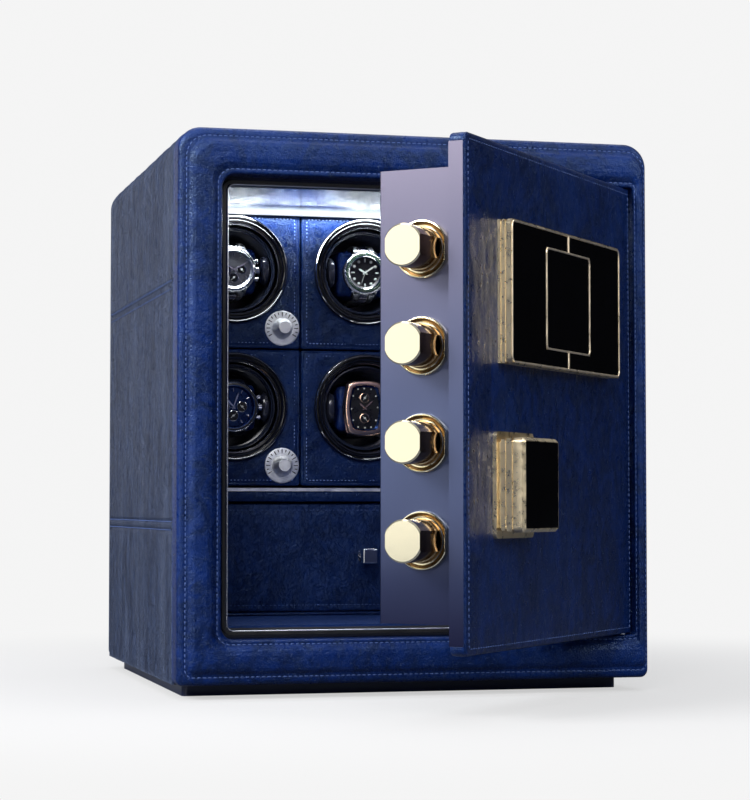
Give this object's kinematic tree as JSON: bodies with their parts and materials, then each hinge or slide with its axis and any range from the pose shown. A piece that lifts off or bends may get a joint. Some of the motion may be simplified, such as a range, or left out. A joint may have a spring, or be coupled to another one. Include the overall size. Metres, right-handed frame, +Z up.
{
  "type": "watch winder box",
  "caption": "Leather-covered watch winder safe with a bolted, hinged keypad door, turning watch holders on a panelled deck, and a drawer below.",
  "frame": {"origin": "on the floor plane, at the middle of the cabinet's width and depth", "axes": "+X right seen from the front, +Y towards the back, +Z up; the door is on the -Y side"},
  "size_m": [0.42, 0.6886, 0.484],
  "materials": {
    "blue_leather": "distressed, semi-gloss",
    "panel_leather": "fine grain, semi-gloss",
    "lining_leather": "fine grain, satin",
    "cushion_leather": "soft, satin",
    "blue_lacquer": "high-gloss lacquer",
    "plinth_lacquer": "dark blue lacquer",
    "board": "raw fibreboard",
    "gold": "polished gold plate",
    "black_glass": "gloss black",
    "bezel_black": "piano black",
    "cup_black": "gloss black",
    "black_plastic": "matte",
    "dial_silver": "silver with engraved marks",
    "polished_steel": "polished",
    "steel": "plain",
    "ceiling_mirror": "mirror",
    "lamp_channel": "satin",
    "seal_rubber": "matte",
    "circuit_board": "satin",
    "lamp": "white diffuser, lit"
  },
  "bodies": {
    "cabinet": {"cabinet_body": "board", "leather_wrap": "blue_leather", "front_frame": "blue_leather", "back_panel": "blue_leather", "base_plinth": "plinth_lacquer", "jamb_frame": "blue_lacquer", "door_seal": "seal_rubber", "strike_plate": "polished_steel", "interior_lining": "lining_leather", "ceiling_mirror": "ceiling_mirror", "light_channel": "lamp_channel", "lamp_strip": "lamp", "hinge_pins": "steel", "power_inlet": "black_plastic", "power_board": "circuit_board", "winder_panels": "panel_leather", "bezel_rings": "bezel_black", "winder_barrels": "black_plastic", "gear_motors": "steel", "speed_dials": "dial_silver", "shelf": "lining_leather", "shelf_trim": "polished_steel", "drawer_deck": "lining_leather"},
    "drawer": {"drawer_front": "panel_leather", "drawer_tray": "board", "drawer_knob": "polished_steel"},
    "door": {"door_plate": "blue_lacquer", "door_leather": "blue_leather", "bolt_housing": "blue_lacquer", "bolt_collars": "gold", "keypad_frame": "gold", "keypad_glass": "black_glass", "keypad_screen": "black_glass", "handle_plate": "gold", "lock_solenoid": "steel", "lock_board": "circuit_board"},
    "handle": {"handle_block": "gold", "handle_inlay": "black_glass", "handle_spindle": "steel"},
    "bolts": {"locking_bolts": "gold", "bolt_carriage": "steel"},
    "latch": {"latch_plunger": "steel"},
    "rotor_bottom_left": {"winder_cup_bottom_left": "cup_black"},
    "cushion_bottom_left": {"watch_cushion_bottom_left": "cushion_leather"},
    "knob_bottom_left": {"speed_knob_bottom_left": "polished_steel"},
    "rotor_bottom_centre": {"winder_cup_bottom_centre": "cup_black"},
    "cushion_bottom_centre": {"watch_cushion_bottom_centre": "cushion_leather"},
    "knob_bottom_centre": {"speed_knob_bottom_centre": "polished_steel"},
    "rotor_bottom_right": {"winder_cup_bottom_right": "cup_black"},
    "cushion_bottom_right": {"watch_cushion_bottom_right": "cushion_leather"},
    "knob_bottom_right": {"speed_knob_bottom_right": "polished_steel"},
    "rotor_top_left": {"winder_cup_top_left": "cup_black"},
    "cushion_top_left": {"watch_cushion_top_left": "cushion_leather"},
    "knob_top_left": {"speed_knob_top_left": "polished_steel"},
    "rotor_top_centre": {"winder_cup_top_centre": "cup_black"},
    "cushion_top_centre": {"watch_cushion_top_centre": "cushion_leather"},
    "knob_top_centre": {"speed_knob_top_centre": "polished_steel"},
    "rotor_top_right": {"winder_cup_top_right": "cup_black"},
    "cushion_top_right": {"watch_cushion_top_right": "cushion_leather"},
    "knob_top_right": {"speed_knob_top_right": "polished_steel"}
  },
  "joints": [
    {"name": "door_hinge", "type": "hinge", "parent": "cabinet", "child": "door", "pos_m": [0.1885, -0.203, 0], "axis": [0, 0, 1], "range_deg": [-39.4, 45.6]},
    {"name": "handle_turn", "type": "hinge", "parent": "door", "child": "handle", "pos_m": [0.01279, -0.408, 0.179], "axis": [-0.7593, 0.6508, 0], "range_deg": [0, 90]},
    {"name": "bolt_slide", "type": "slide", "parent": "door", "child": "bolts", "axis": [0.6508, 0.7593, 0], "range_m": [0, 0.0396]},
    {"name": "latch_slide", "type": "slide", "parent": "door", "child": "latch", "axis": [0, 0, 1], "range_m": [-0.006, 0]},
    {"name": "drawer_slide", "type": "slide", "parent": "cabinet", "child": "drawer", "axis": [0, -1, 0], "range_m": [0, 0.12]},
    {"name": "rotor_turn_bottom_left", "type": "hinge", "parent": "cabinet", "child": "rotor_bottom_left", "pos_m": [-0.126, -0.024, 0.255], "axis": [0, -1, 0], "continuous": true},
    {"name": "cushion_pull_bottom_left", "type": "slide", "parent": "rotor_bottom_left", "child": "cushion_bottom_left", "axis": [0, -1, 0], "range_m": [0, 0.06]},
    {"name": "knob_turn_bottom_left", "type": "hinge", "parent": "cabinet", "child": "knob_bottom_left", "pos_m": [-0.0808, -0.024, 0.2005], "axis": [0, -1, 0], "range_deg": [0, 270]},
    {"name": "rotor_turn_bottom_centre", "type": "hinge", "parent": "cabinet", "child": "rotor_bottom_centre", "pos_m": [0, -0.024, 0.255], "axis": [0, -1, 0], "continuous": true},
    {"name": "cushion_pull_bottom_centre", "type": "slide", "parent": "rotor_bottom_centre", "child": "cushion_bottom_centre", "axis": [0, -1, 0], "range_m": [0, 0.06]},
    {"name": "knob_turn_bottom_centre", "type": "hinge", "parent": "cabinet", "child": "knob_bottom_centre", "pos_m": [0.0452, -0.024, 0.2005], "axis": [0, -1, 0], "range_deg": [0, 270]},
    {"name": "rotor_turn_bottom_right", "type": "hinge", "parent": "cabinet", "child": "rotor_bottom_right", "pos_m": [0.126, -0.024, 0.255], "axis": [0, -1, 0], "continuous": true},
    {"name": "cushion_pull_bottom_right", "type": "slide", "parent": "rotor_bottom_right", "child": "cushion_bottom_right", "axis": [0, -1, 0], "range_m": [0, 0.06]},
    {"name": "knob_turn_bottom_right", "type": "hinge", "parent": "cabinet", "child": "knob_bottom_right", "pos_m": [0.1712, -0.024, 0.2005], "axis": [0, -1, 0], "range_deg": [0, 270]},
    {"name": "rotor_turn_top_left", "type": "hinge", "parent": "cabinet", "child": "rotor_top_left", "pos_m": [-0.126, -0.024, 0.383], "axis": [0, -1, 0], "continuous": true},
    {"name": "cushion_pull_top_left", "type": "slide", "parent": "rotor_top_left", "child": "cushion_top_left", "axis": [0, -1, 0], "range_m": [0, 0.06]},
    {"name": "knob_turn_top_left", "type": "hinge", "parent": "cabinet", "child": "knob_top_left", "pos_m": [-0.0808, -0.024, 0.3285], "axis": [0, -1, 0], "range_deg": [0, 270]},
    {"name": "rotor_turn_top_centre", "type": "hinge", "parent": "cabinet", "child": "rotor_top_centre", "pos_m": [0, -0.024, 0.383], "axis": [0, -1, 0], "continuous": true},
    {"name": "cushion_pull_top_centre", "type": "slide", "parent": "rotor_top_centre", "child": "cushion_top_centre", "axis": [0, -1, 0], "range_m": [0, 0.06]},
    {"name": "knob_turn_top_centre", "type": "hinge", "parent": "cabinet", "child": "knob_top_centre", "pos_m": [0.0452, -0.024, 0.3285], "axis": [0, -1, 0], "range_deg": [0, 270]},
    {"name": "rotor_turn_top_right", "type": "hinge", "parent": "cabinet", "child": "rotor_top_right", "pos_m": [0.126, -0.024, 0.383], "axis": [0, -1, 0], "continuous": true},
    {"name": "cushion_pull_top_right", "type": "slide", "parent": "rotor_top_right", "child": "cushion_top_right", "axis": [0, -1, 0], "range_m": [0, 0.06]},
    {"name": "knob_turn_top_right", "type": "hinge", "parent": "cabinet", "child": "knob_top_right", "pos_m": [0.1712, -0.024, 0.3285], "axis": [0, -1, 0], "range_deg": [0, 270]}
  ],
  "couplings": [
    {"joint": "bolt_slide", "follows": "handle_turn", "m_per_rad": 0.025}
  ]
}
